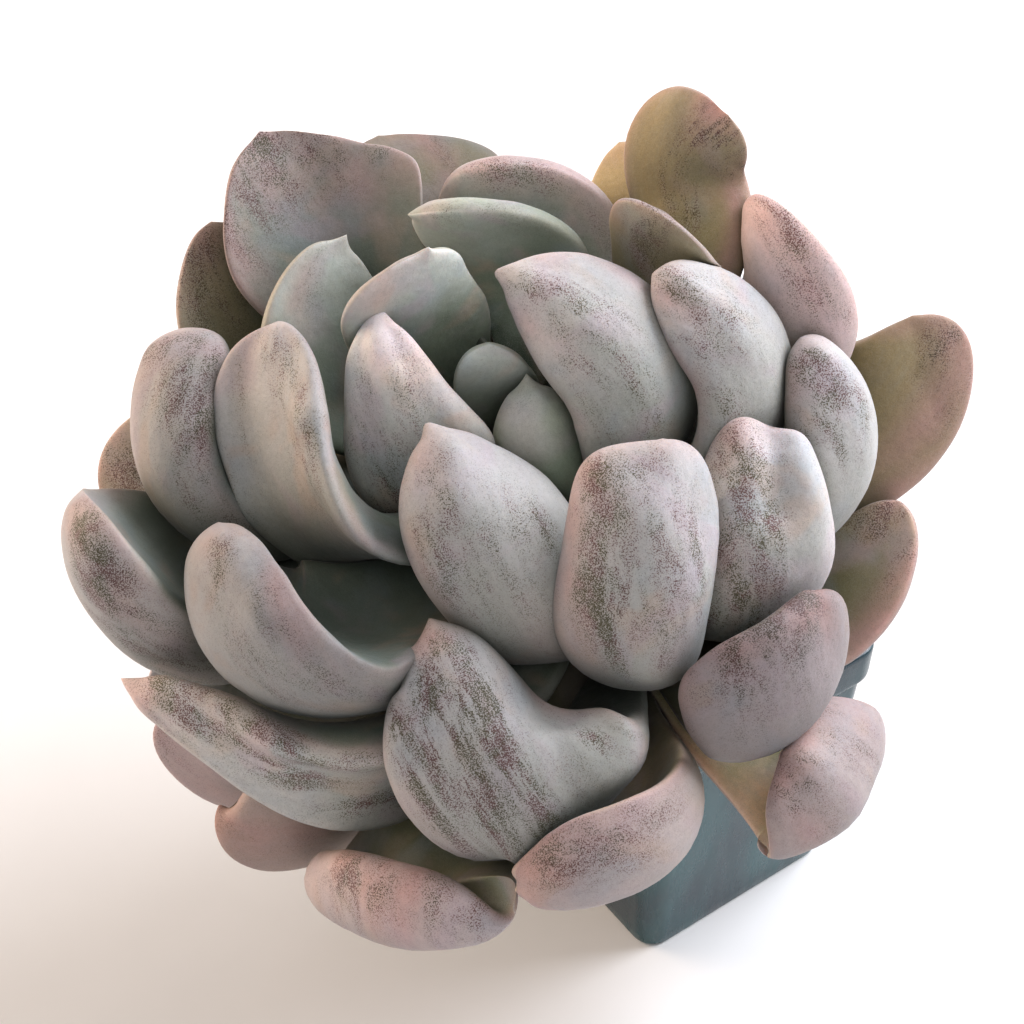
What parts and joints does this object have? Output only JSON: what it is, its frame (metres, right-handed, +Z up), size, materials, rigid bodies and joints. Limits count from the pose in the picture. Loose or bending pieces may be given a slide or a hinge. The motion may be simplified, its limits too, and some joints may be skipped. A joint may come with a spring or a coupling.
{
  "type": "potted succulent",
  "caption": "Fleshy rosette succulent with chubby upcurved pale leaves, leaning out of a small square tapered nursery pot",
  "frame": {"origin": "centre of the underside of the pot, on the floor it stands on", "axes": "+Z up, X and Y along the sides of the square pot; the rosette leans towards -X"},
  "size_m": [0.1444, 0.1339, 0.1533],
  "materials": {
    "pot": "satin",
    "soil": "matte",
    "stem": "matte",
    "leaf_pale": "matte",
    "leaf_rose": "matte",
    "leaf_olive": "matte",
    "leaf_centre": "matte"
  },
  "bodies": {
    "root": {"pot": "pot", "soil": "soil", "stem": "stem", "leaf_01": "leaf_pale", "leaf_02": "leaf_centre", "leaf_03": "leaf_centre", "leaf_04": "leaf_olive", "leaf_05": "leaf_centre", "leaf_06": "leaf_pale", "leaf_07": "leaf_olive", "leaf_08": "leaf_centre", "leaf_09": "leaf_pale", "leaf_10": "leaf_olive", "leaf_11": "leaf_centre", "leaf_12": "leaf_olive", "leaf_13": "leaf_pale", "leaf_14": "leaf_olive", "leaf_15": "leaf_centre", "leaf_16": "leaf_pale", "leaf_17": "leaf_olive", "leaf_18": "leaf_pale", "leaf_19": "leaf_rose", "leaf_20": "leaf_pale", "leaf_21": "leaf_pale", "leaf_22": "leaf_pale", "leaf_23": "leaf_pale", "leaf_24": "leaf_rose", "leaf_25": "leaf_pale", "leaf_26": "leaf_pale", "leaf_27": "leaf_pale", "leaf_28": "leaf_pale", "leaf_29": "leaf_rose", "leaf_30": "leaf_rose", "leaf_31": "leaf_rose", "leaf_32": "leaf_pale", "leaf_33": "leaf_olive", "leaf_34": "leaf_pale", "leaf_35": "leaf_pale", "leaf_36": "leaf_pale", "leaf_37": "leaf_pale", "leaf_38": "leaf_rose", "leaf_39": "leaf_pale", "leaf_40": "leaf_pale", "leaf_41": "leaf_pale", "leaf_42": "leaf_rose", "leaf_43": "leaf_rose", "leaf_44": "leaf_olive", "leaf_45": "leaf_rose", "leaf_46": "leaf_rose", "leaf_47": "leaf_pale"}
  },
  "joints": []
}
